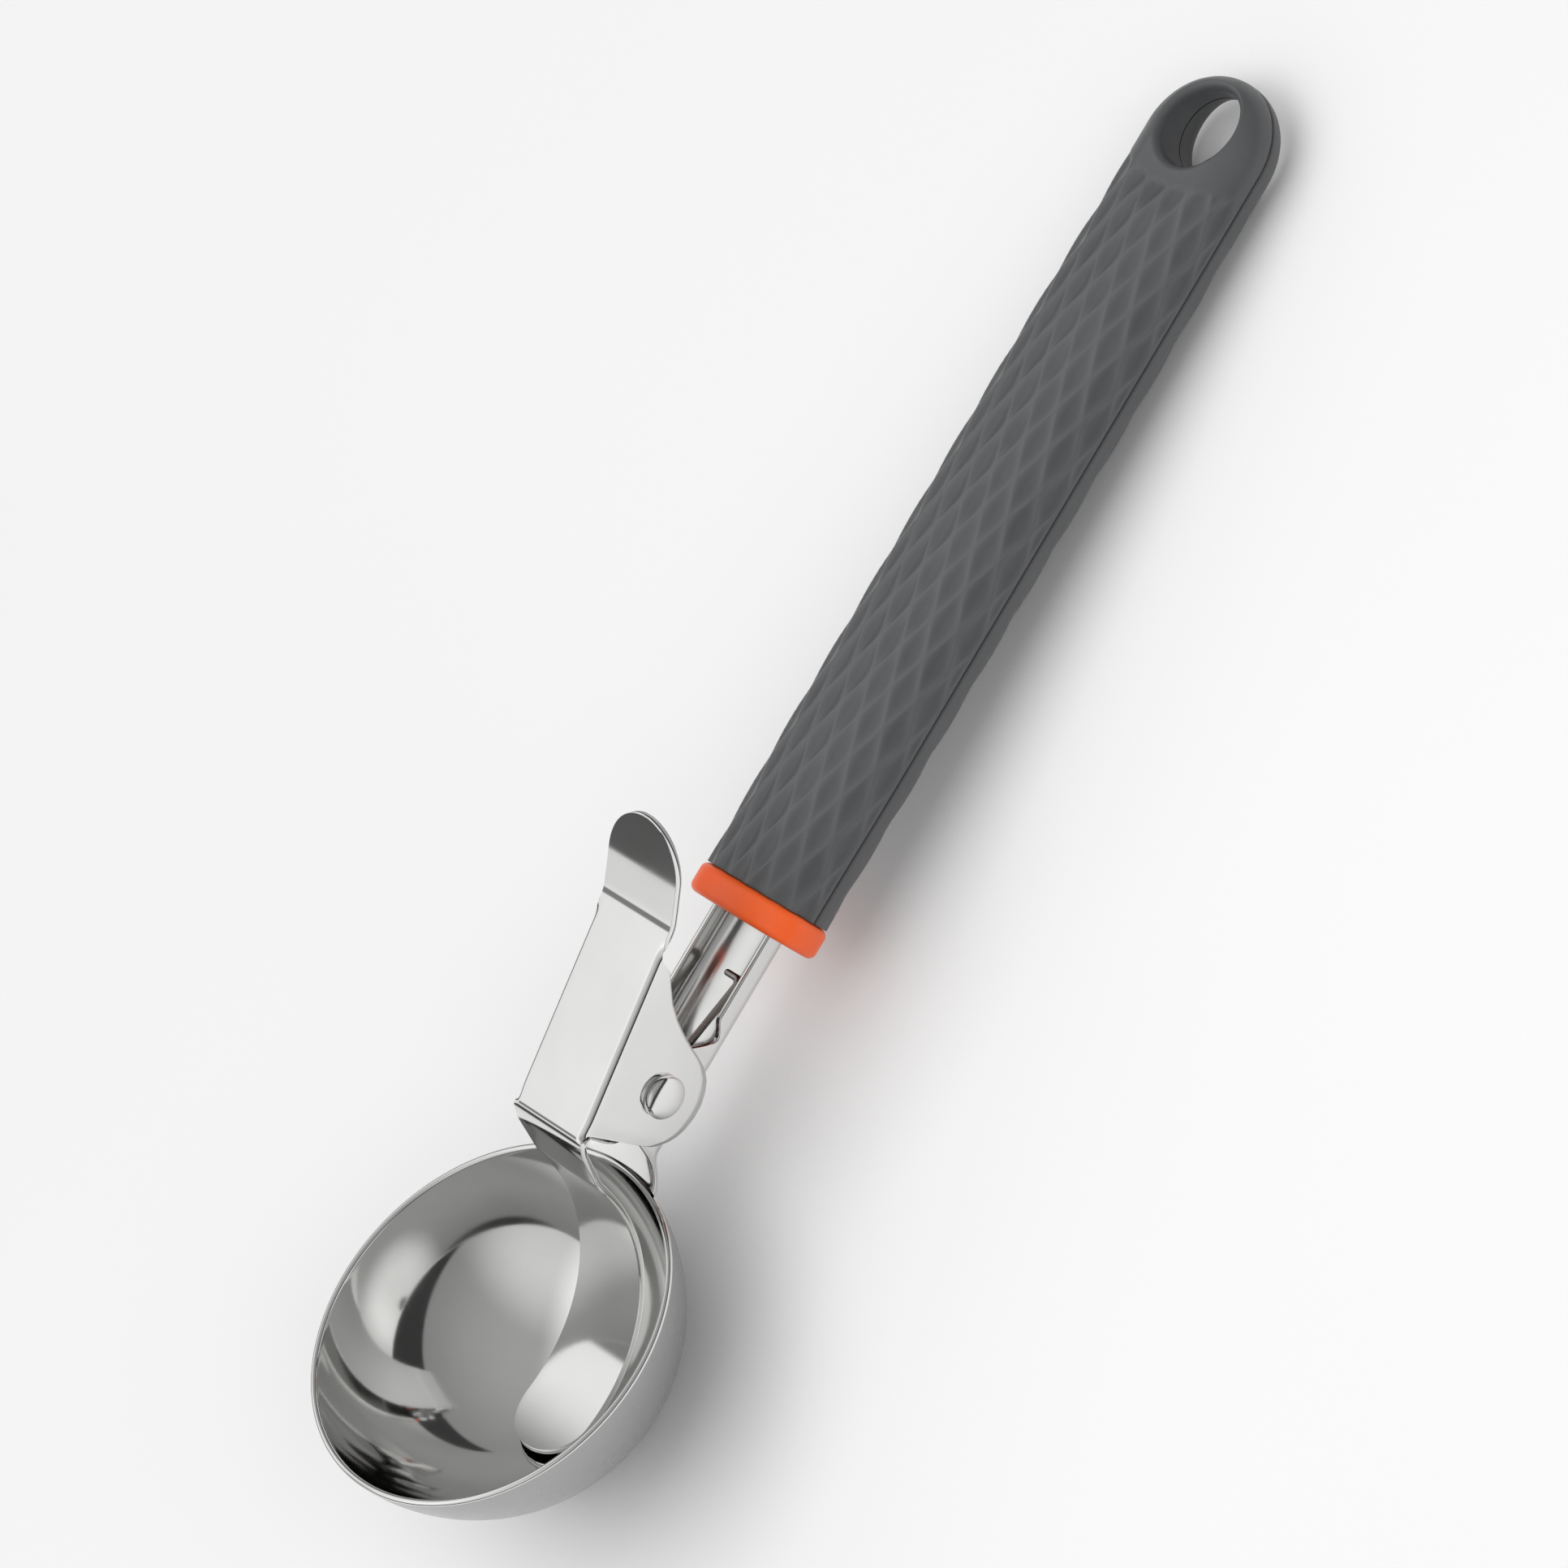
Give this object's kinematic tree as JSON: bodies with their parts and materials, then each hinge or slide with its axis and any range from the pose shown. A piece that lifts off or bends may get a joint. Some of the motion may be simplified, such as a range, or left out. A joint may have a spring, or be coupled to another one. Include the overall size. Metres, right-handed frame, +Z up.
{
  "type": "trigger ice cream scoop",
  "caption": "Ice cream scoop with a round steel bowl, a sprung thumb lever whose tongue lifts the ice cream out, a slotted shank and a moulded grip with a hanging eye.",
  "frame": {"origin": "on the table, under the middle of the scoop's bounding box, with the scoop lying on its bowl and the tail of its grip", "axes": "+X along the scoop from the bowl to the tail, +Y across, +Z up out of the bowl's opening"},
  "size_m": [0.2212, 0.0558, 0.0433],
  "materials": {
    "polished_steel": "mirror-polished stainless steel",
    "lever_steel": "polished stainless sheet",
    "rivet_steel": "polished domed rivet",
    "spring_wire": "drawn spring wire",
    "orange_plastic": "satin moulded plastic",
    "grey_plastic": "satin moulded plastic with shallow lozenge dimples"
  },
  "bodies": {
    "frame": {"bowl": "polished_steel", "shank": "polished_steel", "pivot_rivet": "rivet_steel", "torsion_spring": "spring_wire", "collar": "orange_plastic", "grip_upper_shell": "grey_plastic", "grip_lower_shell": "grey_plastic"},
    "lever": {"thumb_lever": "lever_steel"}
  },
  "joints": [
    {"name": "lever_hinge", "type": "hinge", "parent": "frame", "child": "lever", "pos_m": [-0.04535, 0, 0.02305], "axis": [0, 1, 0], "range_deg": [0, 30], "stiffness_Nm_per_rad": 0.5, "springref_deg": -22.92, "deforming": ["torsion_spring"]}
  ]
}
